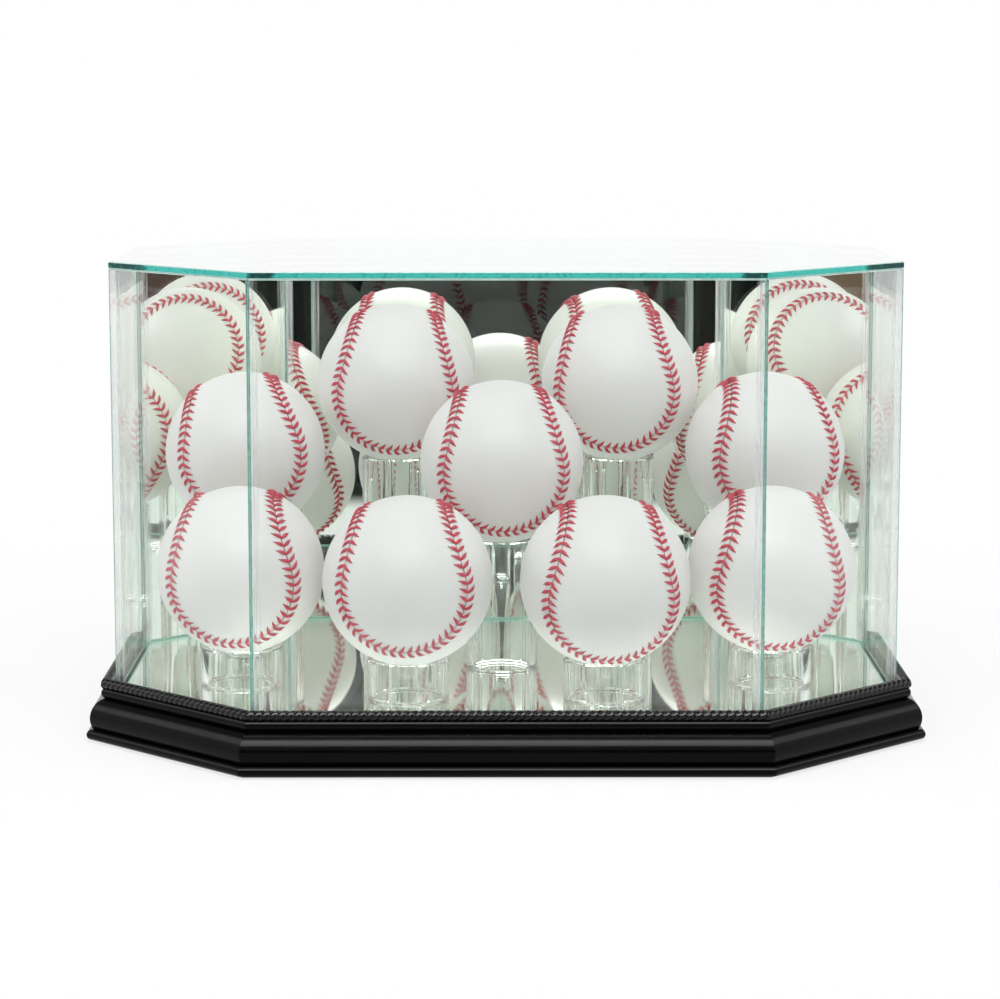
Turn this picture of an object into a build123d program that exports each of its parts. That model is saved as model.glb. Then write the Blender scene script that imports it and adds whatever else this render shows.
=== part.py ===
"""Octagonal glass display case for nine baseballs.

The case is a moulded black base with a mirror floor and a lift-off glass cover. Nine balls
stand inside on clear tubes of three heights. X is the width, the front faces -Y, Z is up,
and the origin is on the table under the middle of the case. All sizes are in millimetres.
"""
from build123d import *
import math
import os

# Baseballs: the seam is a closed chain of four equal arcs that meet on the ball's equator
BALL_DIAMETER = 73.8
SEAM_TILT = 15.0
SEAM_GROOVE = 1.2

# Clear tubes that the balls rest on
BALL_SEAT_GAP = 0.3
TUBE_WALL = 3.0
TUBE_ARRIS = 0.4
FRONT_TUBE_DIAMETER = 36.0
BACK_TUBE_DIAMETER = 32.0
FRONT_TUBE_HEIGHT = 16.5
MIDDLE_TUBE_HEIGHT = 58.3
REAR_TUBE_HEIGHT = 87.1

# Front row: two balls at the middle and one at each side, set back
FRONT_MIDDLE_GAP = 11.2
FRONT_SIDE_GAP = 5.7
FRONT_ENDS_BACK = 28.75

# Middle row: one ball at each end behind the front end balls, and one near the middle
PASSING_GAP = 1.2
MIDDLE_ENDS_OUT = 3.25
CENTRE_BALL_BACK = 67.5
CENTRE_BALL_SHIFT = -1.8

# Rear row: a pair of balls
REAR_PAIR_GAP = 31.4
REAR_PAIR_BACK = 65.5
REAR_PAIR_SHIFT = 1.4

# Glass cover: an octagon with 45 degree corners, clear of the balls by these gaps
BALL_TO_FRONT = 7.1
BALL_TO_BACK = 14.1
BALL_TO_END = 11.2
BALL_TO_CORNER = 9.56
GLASS = 3.0
PANE_HEIGHT = 186.4
GLUE_LINE = 0.1
LID_ARRIS = 0.4

# Base: felt, board and mirror floor, from the table up
FELT = 1.0
BOARD = 19.1
MIRROR = 3.0
COVER_PLAY = 0.4
MIRROR_PLAY = 0.75
LIP_COVERS_BOARD = 2.6
BOARD_PLAY = 0.1
FELT_INSET = 3.0

# Moulding of the base: heights of its four rolls, and how far each stands out past the glass
FOOT_HEIGHT = 4.2
OVOLO_HEIGHT = 13.6
BEAD_HEIGHT = 4.2
ROPE_HEIGHT = 4.2
FOOT_SOLE = 11.4
FOOT_REACH = 12.6
FOOT_NECK = 9.6
OVOLO_REACH = 11.1
OVOLO_NECK = 4.7
BEAD_REACH = 6.15
BEAD_NECK = 5.0
ROPE_REACH = 6.1
ROPE_RADIUS = 2.1
LAND_DROP = 0.6

# Layout across the case, from the middle outward
FRONT_INNER_X = (BALL_DIAMETER + FRONT_MIDDLE_GAP) / 2
FRONT_OUTER_X = FRONT_INNER_X + math.sqrt((BALL_DIAMETER + FRONT_SIDE_GAP) ** 2 - FRONT_ENDS_BACK**2)
MIDDLE_END_X = FRONT_OUTER_X + MIDDLE_ENDS_OUT
REAR_X = (BALL_DIAMETER + REAR_PAIR_GAP) / 2
COVER_WIDTH = 2 * (MIDDLE_END_X + BALL_DIAMETER / 2 + BALL_TO_END + GLASS)

# Layout from front to back, with the middle of the cover at zero
ROWS_DEPTH = CENTRE_BALL_BACK + REAR_PAIR_BACK
COVER_DEPTH = ROWS_DEPTH + BALL_DIAMETER + BALL_TO_FRONT + BALL_TO_BACK + 2 * GLASS
FRONT_INNER_Y = GLASS + BALL_TO_FRONT + BALL_DIAMETER / 2 - COVER_DEPTH / 2
FRONT_OUTER_Y = FRONT_INNER_Y + FRONT_ENDS_BACK
MIDDLE_END_Y = FRONT_OUTER_Y + math.sqrt((BALL_DIAMETER + PASSING_GAP) ** 2 - MIDDLE_ENDS_OUT**2)
MIDDLE_CENTRE_Y = FRONT_INNER_Y + CENTRE_BALL_BACK
REAR_Y = FRONT_INNER_Y + ROWS_DEPTH

# A corner pane faces the end ball of the middle row: its outside is where x + y is CORNER_SUM
CORNER_SUM = MIDDLE_END_X + MIDDLE_END_Y + math.sqrt(2) * (BALL_DIAMETER / 2 + BALL_TO_CORNER + GLASS)
CORNER = (COVER_WIDTH + COVER_DEPTH) / 2 - CORNER_SUM
FRONT_PANE_WIDTH = COVER_WIDTH - 2 * CORNER

# Levels and slopes
BOARD_TOP = FELT + BOARD
FLOOR = BOARD_TOP + MIRROR
PANE_TOP = BOARD_TOP + PANE_HEIGHT
HALF_TURN = math.tan(math.radians(45 / 2))
SIDES = ["front", "front_right", "right", "rear_right", "rear", "rear_left", "left", "front_left"]


class Row:
    """A row of balls: its tubes, where each stands, and how each ball was put down.

    A ball starts with one wide lobe of its seam toward the front and the neck at the top.
    `turns` holds, for each ball, the degrees that it is tipped forward, leaned to +X and turned
    toward +X from there.
    """

    def __init__(self, name, diameter, height, places, turns):
        self.name = name
        self.diameter = diameter
        self.height = height
        self.places = places
        self.turns = turns


FRONT_ROW = Row(
    "front",
    FRONT_TUBE_DIAMETER,
    FRONT_TUBE_HEIGHT,
    [
        (-FRONT_OUTER_X, FRONT_OUTER_Y),
        (-FRONT_INNER_X, FRONT_INNER_Y),
        (FRONT_INNER_X, FRONT_INNER_Y),
        (FRONT_OUTER_X, FRONT_OUTER_Y),
    ],
    [(5, -4, -4), (0, -3, -2), (12, 2, 4), (11, 3, 2)],
)
MIDDLE_ROW = Row(
    "middle",
    BACK_TUBE_DIAMETER,
    MIDDLE_TUBE_HEIGHT,
    [(-MIDDLE_END_X, MIDDLE_END_Y), (CENTRE_BALL_SHIFT, MIDDLE_CENTRE_Y), (MIDDLE_END_X, MIDDLE_END_Y)],
    [(-2, -10, 1), (4, -1, 2), (1, 1, 8)],
)
REAR_ROW = Row(
    "rear",
    BACK_TUBE_DIAMETER,
    REAR_TUBE_HEIGHT,
    [(REAR_PAIR_SHIFT - REAR_X, REAR_Y), (REAR_PAIR_SHIFT + REAR_X, REAR_Y)],
    [(6, 1, 1), (3, -5, -6)],
)


def octagon(reach):
    """Corners of the octagon that stands `reach` out from the glass, in the order of SIDES."""
    front_x = FRONT_PANE_WIDTH / 2 + HALF_TURN * reach
    front_y = COVER_DEPTH / 2 + reach
    side_x = COVER_WIDTH / 2 + reach
    side_y = COVER_DEPTH / 2 - CORNER + HALF_TURN * reach
    right = [(front_x, -front_y), (side_x, -side_y), (side_x, side_y), (front_x, front_y)]
    left = [(-x, -y) for x, y in right]
    corners = right + left
    return [corners[-1]] + corners[:-1]


def slab(points, bottom, top):
    """A flat plate with the outline `points`, from one level to another."""
    face = make_face(Polyline(*points, close=True))
    return Pos(0, 0, bottom) * extrude(face, top - bottom)


def mitred_block(side, inner, outer, bottom, top):
    """The block along one side of the octagon, mitred at both ends with half a glue line off."""
    inner_corners = octagon(inner)
    outer_corners = octagon(outer)
    after = (side + 1) % len(SIDES)
    start = Vector(*inner_corners[side])
    end = Vector(*inner_corners[after])
    along = (end - start).normalized() * (GLUE_LINE / 2)
    points = [
        start + along,
        Vector(*outer_corners[side]) + along,
        Vector(*outer_corners[after]) - along,
        end - along,
    ]
    return slab([(p.X, p.Y) for p in points], bottom, top)


def moulding_section():
    """Section of the base moulding: x stands out from the glass, y is the height."""
    foot_top = FELT + FOOT_HEIGHT
    ovolo_top = foot_top + OVOLO_HEIGHT
    bead_top = ovolo_top + BEAD_HEIGHT
    rope_top = bead_top + ROPE_HEIGHT
    rope_x = ROPE_REACH - ROPE_RADIUS
    rope_y = rope_top - ROPE_RADIUS
    land = rope_top - LAND_DROP
    land_end = rope_x - math.sqrt(ROPE_RADIUS**2 - (land - rope_y) ** 2)
    neck_y = rope_y - math.sqrt(ROPE_RADIUS**2 - (BEAD_NECK - rope_x) ** 2)
    back = COVER_PLAY + LIP_COVERS_BOARD
    turn = ROPE_RADIUS / math.sqrt(2)

    foot = ThreePointArc(
        (FOOT_SOLE, FELT), (FOOT_REACH, FELT + FOOT_HEIGHT / 2), (FOOT_NECK, foot_top)
    )
    ovolo = ThreePointArc(
        (FOOT_NECK, foot_top), (OVOLO_REACH, foot_top + 0.4 * OVOLO_HEIGHT), (OVOLO_NECK, ovolo_top)
    )
    bead = ThreePointArc(
        (OVOLO_NECK, ovolo_top), (BEAD_REACH, ovolo_top + BEAD_HEIGHT / 2), (BEAD_NECK, neck_y)
    )
    rope = ThreePointArc(
        (BEAD_NECK, neck_y), (rope_x + turn, rope_y + turn), (land_end, land)
    )
    inside = Polyline(
        (land_end, land),
        (COVER_PLAY, land),
        (COVER_PLAY, BOARD_TOP),
        (back, BOARD_TOP),
        (back, FELT),
        (FOOT_SOLE, FELT),
    )
    return make_face([foot, ovolo, bead, rope, inside])


def rail(side):
    """One mitred length of the base moulding, with the rabbet that laps over the board."""
    corners = octagon(0)
    start = Vector(*corners[side])
    end = Vector(*corners[(side + 1) % len(SIDES)])
    along = (end - start).normalized()
    outward = Vector(along.Y, -along.X, 0)
    plane = Plane(origin=(start + end) / 2, x_dir=outward, z_dir=-along)
    reach = max(FOOT_REACH, OVOLO_REACH) + 1
    half_length = (end - start).length / 2 + reach
    length = extrude(plane * moulding_section(), half_length, both=True)
    top = FELT + FOOT_HEIGHT + OVOLO_HEIGHT + BEAD_HEIGHT + ROPE_HEIGHT
    return length & mitred_block(side, 0, reach, 0, top + 1)


def pane(side):
    """One upright pane of the cover, mitred to its neighbours and standing on the board."""
    return mitred_block(side, -GLASS, 0, BOARD_TOP, PANE_TOP - GLUE_LINE)


def lid():
    """The top pane of the cover, with its sharp edges taken off."""
    plate = slab(octagon(0), PANE_TOP, PANE_TOP + GLASS)
    flat = plate.faces().group_by(Axis.Z)
    edges = flat[0].edges() + flat[-1].edges()
    return chamfer(edges, LID_ARRIS)


def tube(place, diameter, height):
    """A clear tube that stands on the mirror floor, its sharp edges taken off."""
    ring = Circle(diameter / 2) - Circle(diameter / 2 - TUBE_WALL)
    length = extrude(ring, height)
    ends = length.faces().filter_by(Axis.Z).edges()
    return Pos(*place, FLOOR) * chamfer(ends, TUBE_ARRIS)


def seamed_ball():
    """A baseball with its seam sunk in: four arcs of one small circle, each turning the other way.

    The arcs meet end to end on the equator. Each one starts a quarter turn on from the last, and
    swings round an axis that leans by SEAM_TILT out of the equator.
    """
    radius = BALL_DIAMETER / 2
    tilt = math.radians(SEAM_TILT)
    overlap = math.cos(tilt) ** 2 / 2
    swing = 360 - math.degrees(math.acos(-overlap / (1 - overlap)))
    groove = Part()
    for quarter in range(4):
        at = math.radians(-90 * quarter)
        toward = math.radians(135 + 90 * quarter)
        start = Vector(math.cos(at), math.sin(at), 0)
        axis = Vector(math.cos(toward) * math.cos(tilt), math.sin(toward) * math.cos(tilt), math.sin(tilt))
        section = Plane(origin=start * radius, z_dir=axis.cross(start)) * Circle(SEAM_GROOVE / 2)
        groove += revolve(section, Axis((0, 0, 0), axis), swing)
    ball = Sphere(radius) - groove
    lobe_over_front = Rot(Z=-45)
    lobe_to_front = Rot(X=-SEAM_TILT)
    return lobe_to_front * lobe_over_front * ball


def place_ball(ball, place, diameter, height, turns):
    """The ball, turned as it was put down, resting in the mouth of a tube."""
    mouth = diameter / 2 - TUBE_WALL
    rise = math.sqrt((BALL_DIAMETER / 2 + BALL_SEAT_GAP) ** 2 - mouth**2)
    tipped, leaned, turned = turns
    return Pos(*place, FLOOR + height + rise) * Rot(tipped, leaned, turned) * ball


def build():
    """Every sub-part, by name."""
    parts = {}
    parts["base_felt"] = slab(octagon(FOOT_SOLE - FELT_INSET), 0, FELT)
    board_reach = COVER_PLAY + LIP_COVERS_BOARD - BOARD_PLAY
    parts["base_board"] = slab(octagon(board_reach), FELT, BOARD_TOP)
    parts["floor_mirror"] = slab(octagon(-GLASS - MIRROR_PLAY), BOARD_TOP, FLOOR)
    for side, name in enumerate(SIDES):
        parts["rail_" + name] = rail(side)
        kind = "mirror_" if name.startswith("rear") else "pane_"
        parts[kind + name] = pane(side)
    parts["lid"] = lid()
    ball = seamed_ball()
    for row in (FRONT_ROW, MIDDLE_ROW, REAR_ROW):
        for number, place in enumerate(row.places, start=1):
            turns = row.turns[number - 1]
            parts[f"riser_{row.name}_{number}"] = tube(place, row.diameter, row.height)
            parts[f"ball_{row.name}_{number}"] = place_ball(ball, place, row.diameter, row.height, turns)
    return parts


os.makedirs("parts", exist_ok=True)
for part_name, shape in build().items():
    export_step(shape, f"parts/{part_name}.step")
    print(part_name, round(shape.volume / 1000, 2), "cm3")
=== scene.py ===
# %% [markdown]
# # A baseball display case
# The case is an eight-sided box of glass on a black moulded base. Its back is mirror, its floor
# is mirror, and nine baseballs stand inside on clear tubes. This file dresses the solid model:
# the solid base stays as it is and gets its finish, and the glass, the tubes and the balls are
# made again here, in the same places, with the detail that a plain solid lacks.

import math

import bmesh
import bpy
import numpy as np
from mathutils import Matrix, Vector


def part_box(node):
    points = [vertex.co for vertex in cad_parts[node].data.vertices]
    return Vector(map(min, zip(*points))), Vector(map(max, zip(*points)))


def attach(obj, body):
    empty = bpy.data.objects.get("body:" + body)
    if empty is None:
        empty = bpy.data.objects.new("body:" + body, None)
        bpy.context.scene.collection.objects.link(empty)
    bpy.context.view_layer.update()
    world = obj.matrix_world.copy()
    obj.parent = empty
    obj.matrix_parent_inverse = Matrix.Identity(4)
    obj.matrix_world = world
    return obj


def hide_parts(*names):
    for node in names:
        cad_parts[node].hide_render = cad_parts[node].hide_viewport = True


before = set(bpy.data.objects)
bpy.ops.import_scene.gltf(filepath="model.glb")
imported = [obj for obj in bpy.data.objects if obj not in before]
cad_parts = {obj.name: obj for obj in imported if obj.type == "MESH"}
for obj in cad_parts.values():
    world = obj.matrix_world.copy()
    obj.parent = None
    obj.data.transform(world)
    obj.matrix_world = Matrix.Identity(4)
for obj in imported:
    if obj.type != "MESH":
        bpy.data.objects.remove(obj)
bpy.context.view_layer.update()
MM = 0.001

# %% [markdown]
# ## The octagon
# Every piece of glass and every length of moulding follows one octagon with 45 degree corners.
# It could be typed in as numbers. Reading it from the solid model's lid and front pane is safer,
# because then the dressing always fits the solid.

# %% Sizes read from the solid model
lid_low, lid_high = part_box("lid")
HALF_WIDTH = lid_high.x
HALF_DEPTH = lid_high.y
GLASS = lid_high.z - lid_low.z
JOINT = 0.1 * MM
FRONT_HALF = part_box("pane_front")[1].x + JOINT / 2
CORNER = HALF_WIDTH - FRONT_HALF
HALF_TURN = math.tan(math.radians(22.5))
SIDES = ["front", "front_right", "right", "rear_right", "rear", "rear_left", "left", "front_left"]


def octagon(reach):
    """Corners of the octagon that stands `reach` out from the glass, in the order of SIDES."""
    front_x = FRONT_HALF + HALF_TURN * reach
    front_y = HALF_DEPTH + reach
    side_x = HALF_WIDTH + reach
    side_y = HALF_DEPTH - CORNER + HALF_TURN * reach
    right = [(front_x, -front_y), (side_x, -side_y), (side_x, side_y), (front_x, front_y)]
    corners = right + [(-x, -y) for x, y in right]
    return [Vector((x, y, 0)) for x, y in [corners[-1]] + corners[:-1]]


def side_frame(side, reach=0.0):
    """Start, end and unit direction of one side of the octagon."""
    corners = octagon(reach)
    start = corners[side]
    end = corners[(side + 1) % 8]
    return start, end, (end - start).normalized()


def outward_of(along):
    """Unit direction out of the case from a side that runs `along`."""
    return Vector((along.y, -along.x, 0))


print("octagon", round(2 * HALF_WIDTH / MM), "x", round(2 * HALF_DEPTH / MM), "mm")
print("its corners cut off", round(CORNER / MM, 1), "mm")

# %% [markdown]
# ## Helpers for finishes
# A finish is a tree of nodes. Most of them here start with a Principled shader and a noise that
# is measured in metres on the object itself, so it keeps its scale on every piece.

# %% Finishes, noise and ramps
def new_finish(name, settings):
    """A material, its node tree and its Principled shader with some of its inputs set."""
    material = bpy.data.materials.new(name)
    material.use_nodes = True
    tree = material.node_tree
    shader = tree.nodes["Principled BSDF"]
    for label, value in settings.items():
        shader.inputs[label].default_value = value
    return material, tree, shader


def add_noise(tree, per_metre, stretch=(1, 1, 1), detail=3.0):
    """A noise texture in the object's own metres, stretched along its axes."""
    place = tree.nodes.new("ShaderNodeTexCoord")
    mapping = tree.nodes.new("ShaderNodeMapping")
    mapping.inputs["Scale"].default_value = stretch
    texture = tree.nodes.new("ShaderNodeTexNoise")
    texture.inputs["Scale"].default_value = per_metre
    texture.inputs["Detail"].default_value = detail
    tree.links.new(place.outputs["Object"], mapping.inputs["Vector"])
    tree.links.new(mapping.outputs["Vector"], texture.inputs["Vector"])
    return texture.outputs["Fac"]


def add_ramp(tree, factor, *stops):
    """A colour ramp driven by `factor`; each stop is a position and a colour."""
    ramp = tree.nodes.new("ShaderNodeValToRGB")
    while len(ramp.color_ramp.elements) < len(stops):
        ramp.color_ramp.elements.new(1.0)
    for element, (position, colour) in zip(ramp.color_ramp.elements, stops):
        element.position = position
        element.color = (*colour, 1)
    tree.links.new(factor, ramp.inputs["Fac"])
    return ramp.outputs["Color"]


print("helpers: a finish, noise and a ramp")


# %% Numbers, colours and mixes
def add_range(tree, value, from_low, from_high, to_low=0.0, to_high=1.0):
    """A value carried smoothly from one range to another."""
    node = tree.nodes.new("ShaderNodeMapRange")
    node.interpolation_type = "SMOOTHSTEP"
    tree.links.new(value, node.inputs["Value"])
    limits = {"From Min": from_low, "From Max": from_high, "To Min": to_low, "To Max": to_high}
    for name, number in limits.items():
        node.inputs[name].default_value = number
    return node.outputs["Result"]


def add_math(tree, operation, first, second):
    """A Math node; each input is a socket or a number."""
    node = tree.nodes.new("ShaderNodeMath")
    node.operation = operation
    for value, socket in zip((first, second), node.inputs):
        if isinstance(value, (int, float)):
            socket.default_value = value
        else:
            tree.links.new(value, socket)
    return node.outputs[0]


def add_bump(tree, shader, height, depth):
    """Bump from `height`, whose full swing is `depth` metres."""
    bump = tree.nodes.new("ShaderNodeBump")
    bump.inputs["Distance"].default_value = depth
    bump.inputs["Strength"].default_value = 1.0
    tree.links.new(height, bump.inputs["Height"])
    tree.links.new(bump.outputs["Normal"], shader.inputs["Normal"])


def add_colour(tree, shader, factor, *stops):
    """Gives a shader its base colour from a ramp."""
    tree.links.new(add_ramp(tree, factor, *stops), shader.inputs["Base Color"])


def add_swing(tree, per_metre, swing):
    """Noise that swings round nought, `swing` wide in all."""
    centred = add_math(tree, "SUBTRACT", add_noise(tree, per_metre), 0.5)
    return add_math(tree, "MULTIPLY", centred, swing)


def add_blend(tree, factor, otherwise, chosen):
    """A colour mix; each colour is a socket or three numbers."""
    node = tree.nodes.new("ShaderNodeMix")
    node.data_type = "RGBA"
    tree.links.new(factor, node.inputs["Factor"])
    for name, value in (("A", otherwise), ("B", chosen)):
        if isinstance(value, tuple):
            node.inputs[name].default_value = (*value, 1)
        else:
            tree.links.new(value, node.inputs[name])
    return node.outputs["Result"]


def add_clear(tree, tint=(1, 1, 1)):
    """A Transparent shader that lets `tint` through."""
    through = tree.nodes.new("ShaderNodeBsdfTransparent")
    through.inputs["Color"].default_value = (*tint, 1)
    return through.outputs["BSDF"]


def mix_shaders(tree, share, first, second):
    """Two shaders mixed; `share` is the part of the second."""
    mix = tree.nodes.new("ShaderNodeMixShader")
    tree.links.new(share, mix.inputs["Fac"])
    tree.links.new(first, mix.inputs[1])
    tree.links.new(second, mix.inputs[2])
    return mix.outputs["Shader"]


def set_surface(tree, surface):
    """Makes a shader the surface of its material."""
    tree.links.new(surface, tree.nodes["Material Output"].inputs["Surface"])


print("helpers: numbers, bump, colours and mixes")

# %% [markdown]
# ## Black lacquer
# The base is wood under black satin lacquer. A plain black looks like a hole in the picture, so
# the colour drifts between black and a very dark brown, the gloss changes a little from place to
# place, and a long faint ripple along the grain shows in the reflections.

# %% The lacquer of the moulding
lacquer, tree, shader = new_finish("black_lacquer", {"Specular IOR Level": 0.08})
cloud = add_noise(tree, 35, detail=4)
blacks = ((0.35, (0.0008, 0.0007, 0.0007)), (0.7, (0.0026, 0.0019, 0.0017)))
add_colour(tree, shader, cloud, *blacks)
polish = add_noise(tree, 90, detail=5)
tree.links.new(add_range(tree, polish, 0.3, 0.7, 0.17, 0.23), shader.inputs["Roughness"])
ripple = add_noise(tree, 260, detail=2)
add_bump(tree, shader, ripple, 0.00002)
for name in SIDES:
    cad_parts["rail_" + name].material_slots[0].material = lacquer
print("lacquer on", len(SIDES), "lengths of moulding")

# %% [markdown]
# ## Board and felt
# The board shows only as a dark line in the groove round the glass, and the felt only from below.
# The board has the grain of its face veneer, stained black. The felt has a fine matted surface.

# %% The stained board and the felt
stain, tree, shader = new_finish("stained_board", {"Roughness": 0.6})
grain = add_noise(tree, 60, stretch=(0.12, 2.5, 1), detail=6)
browns = ((0.4, (0.004, 0.0035, 0.003)), (0.62, (0.014, 0.010, 0.008)))
add_colour(tree, shader, grain, *browns)
add_bump(tree, shader, grain, 0.0001)
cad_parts["base_board"].material_slots[0].material = stain

felt, tree, shader = new_finish("black_felt", {
    "Roughness": 0.95,
    "Sheen Weight": 0.4,
    "Sheen Roughness": 0.6,
})
matting = add_noise(tree, 1500, detail=6)
greys = ((0.3, (0.006, 0.006, 0.007)), (0.75, (0.035, 0.035, 0.038)))
add_colour(tree, shader, matting, *greys)
add_bump(tree, shader, matting, 0.0004)
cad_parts["base_felt"].material_slots[0].material = felt
print("board and felt finished")

# %% [markdown]
# ## Clear glass
# A pane lets nearly all light through and mirrors a little, far more at a glancing angle. Glass
# that bends light would be truer for a thick block, but a flat pane only shifts what is behind it,
# and bending panes keep lamps out of the case. So a pane is a mix of Transparent and Glossy, and
# the share follows Schlick's rule: 4 percent head on, rising with the fifth power. Real glass
# rises to all of it. Here the upright panes stop at 62 percent, and the lid mirrors 12 percent
# more than its two faces give. Both were set by comparing renders with the picture.

# %% Finishes of the glass
HEAD_ON = 0.04
PANE_EDGE_ON = 0.62
LID_EDGE_ON = 1.0
LID_BOOST = 1.12


def add_glancing_share(tree, edge_on):
    """What one polished face mirrors, from HEAD_ON to `edge_on`."""
    facing = tree.nodes.new("ShaderNodeLayerWeight")
    facing.inputs["Blend"].default_value = 0.5
    steep = add_math(tree, "POWER", facing.outputs["Facing"], 5.0)
    rise = add_math(tree, "MULTIPLY", steep, edge_on - HEAD_ON)
    return add_math(tree, "ADD", rise, HEAD_ON)


def add_lid_share(tree):
    """What the two faces of the lid mirror together, raised by LID_BOOST."""
    one = add_glancing_share(tree, LID_EDGE_ON)
    doubled = add_math(tree, "MULTIPLY", one, 2.0 * LID_BOOST)
    both = add_math(tree, "DIVIDE", doubled, add_math(tree, "ADD", one, 1.0))
    return add_math(tree, "MINIMUM", both, 1.0)


def pane_finish(name, tint, is_lid=False):
    """A thin clear surface that mirrors by angle; `tint` is what it lets through."""
    material, tree, shader = new_finish(name, {})
    tree.nodes.remove(shader)
    mirrored = tree.nodes.new("ShaderNodeBsdfGlossy")
    mirrored.inputs["Roughness"].default_value = 0.0
    mirrored.inputs["Color"].default_value = (1, 1, 1, 1)
    share = add_lid_share(tree) if is_lid else add_glancing_share(tree, PANE_EDGE_ON)
    clear = add_clear(tree, tint)
    set_surface(tree, mix_shaders(tree, share, clear, mirrored.outputs["BSDF"]))
    return material


clear_glass = pane_finish("clear_glass", (0.985, 0.995, 0.99))
lid_glass = pane_finish("lid_glass", (0.99, 0.998, 0.995), is_lid=True)
print("clear glass mixed from", len(clear_glass.node_tree.nodes), "nodes")

# %% [markdown]
# ## The green edge
# Seen edge on, window glass is green, because light has come a long way through it. The edge of
# the lid is bright along each side and turns dark and broken for a centimetre or two at a corner.
# Both are painted into its colour: the green is the glass's own, the brightness is painted light
# carried inside the glass, and the dark stretch at a corner is painted shade.
# Each edge face carries a map of its own: how far a point is from each dark end, counted in
# lengths of that dark stretch. The finish works from that, with noise for the cutter's marks. The
# edges of the upright panes carry their height instead, and are painted darker toward the top, a
# painted reflection of the dark room.

# %% Finishes of the cut edges
def add_edge_map(tree):
    """The two numbers of an edge face's own map."""
    edge_map = tree.nodes.new("ShaderNodeUVMap")
    edge_map.uv_map = "edge"
    parts = tree.nodes.new("ShaderNodeSeparateXYZ")
    tree.links.new(edge_map.outputs["UV"], parts.inputs["Vector"])
    return parts.outputs["X"], parts.outputs["Y"]


# Painted light: the lid edge's ramp runs from painted shade near each corner to a painted glow along each
# side.
lid_edge, tree, shader = new_finish("lid_edge", {"Roughness": 0.3})
from_start, from_end = add_edge_map(tree)
nearest = add_math(tree, "MINIMUM", from_start, from_end)
broken = add_swing(tree, 550, 1.9)
drift = add_swing(tree, 14, 0.6)
clear_of_end = add_range(tree, nearest, 0.75, 1.05)
tone = add_math(tree, "ADD", clear_of_end, add_math(tree, "ADD", broken, drift))
greens = (
    (0.0, (0.002, 0.06, 0.055)),
    (0.3, (0.008, 0.17, 0.14)),
    (0.7, (0.03, 0.44, 0.38)),
    (1.0, (0.06, 0.56, 0.49)),
)
add_colour(tree, shader, tone, *greens)

# The green is the glass's own; the fall toward the top is a painted reflection of the dark room.
pane_edge, tree, shader = new_finish("pane_edge", {"Roughness": 0.25})
height_share = add_edge_map(tree)[0]
chips = add_swing(tree, 500, 1.6)
fall = add_math(tree, "SUBTRACT", 0.75, add_math(tree, "MULTIPLY", height_share, 0.4))
tone = add_math(tree, "ADD", fall, chips)
greens = (
    (0.0, (0.05, 0.16, 0.14)),
    (0.35, (0.15, 0.33, 0.29)),
    (0.7, (0.16, 0.43, 0.35)),
    (1.0, (0.26, 0.51, 0.44)),
)
add_colour(tree, shader, tone, *greens)

ground_edge, tree, shader = new_finish("ground_edge", {"Roughness": 0.35})
wheel_marks = add_noise(tree, 400, detail=3)
add_colour(tree, shader, wheel_marks, (0.3, (0.45, 0.66, 0.60)), (0.7, (0.70, 0.84, 0.80)))
print("three edge finishes")

# %% [markdown]
# ## Clear glue
# The panes are held together by clear glue, between their mitred ends and in a bead inside each
# corner. It is nearly clear, but its uneven surface bends light, so from the front it reads as a
# pale upright band beside the green line. A milky mix with upright streaks stands for that.

# %% The finish of the glue
glue, tree, shader = new_finish("clear_glue", {"Roughness": 0.15})
streaks = add_noise(tree, 900, stretch=(1, 1, 0.02), detail=3)
add_colour(tree, shader, streaks, (0.3, (0.80, 0.84, 0.86)), (0.7, (0.96, 0.97, 0.98)))
milky = add_range(tree, streaks, 0.3, 0.7, 0.05, 0.35)
set_surface(tree, mix_shaders(tree, milky, add_clear(tree), shader.outputs["BSDF"]))
print("glue finish")

# %% [markdown]
# ## A pane as a prism
# A pane could be a cube that is scaled and turned. Here it is a prism raised from its plan, the
# four corners seen from above, because the mitred ends come with the plan. Its sharp edges are
# then bevelled, and each face takes its finish from the way it looks: the two large faces are
# clear, the level cuts are green, the mitred ends are glued and the small bevels are ground.

# %% The prism and the maps of its edges
CLEAR, CUT, GROUND, GLUED, SILVER, PAINT = range(6)
NEVER_DARK = 9


def prism(plan, bottom, top):
    """A bmesh prism between two levels, over a list of plan points."""
    made = bmesh.new()
    lower = [made.verts.new((p.x, p.y, bottom)) for p in plan]
    upper = [made.verts.new((p.x, p.y, top)) for p in plan]
    made.faces.new(lower[::-1])
    made.faces.new(upper)
    for here in range(len(plan)):
        after = (here + 1) % len(plan)
        made.faces.new((lower[here], lower[after], upper[after], upper[here]))
    bmesh.ops.recalc_face_normals(made, faces=made.faces)
    return made


def map_lid_edge(made, dark_lengths):
    """Maps each side's cut face by its distance from the dark stretch at either end, if it has one."""
    layer = made.loops.layers.uv.new("edge")
    for face in made.faces:
        if face.material_index != CUT:
            continue
        side = round((math.degrees(math.atan2(face.normal.y, face.normal.x)) + 90) / 45) % 8
        start, end, along = side_frame(side)
        dark_start, dark_end = dark_lengths[side]
        for loop in face.loops:
            done = (loop.vert.co - start).dot(along)
            left = (end - start).length - done
            from_start = done / dark_start if dark_start else NEVER_DARK
            from_end = left / dark_end if dark_end else NEVER_DARK
            loop[layer].uv = (from_start, from_end)


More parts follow.
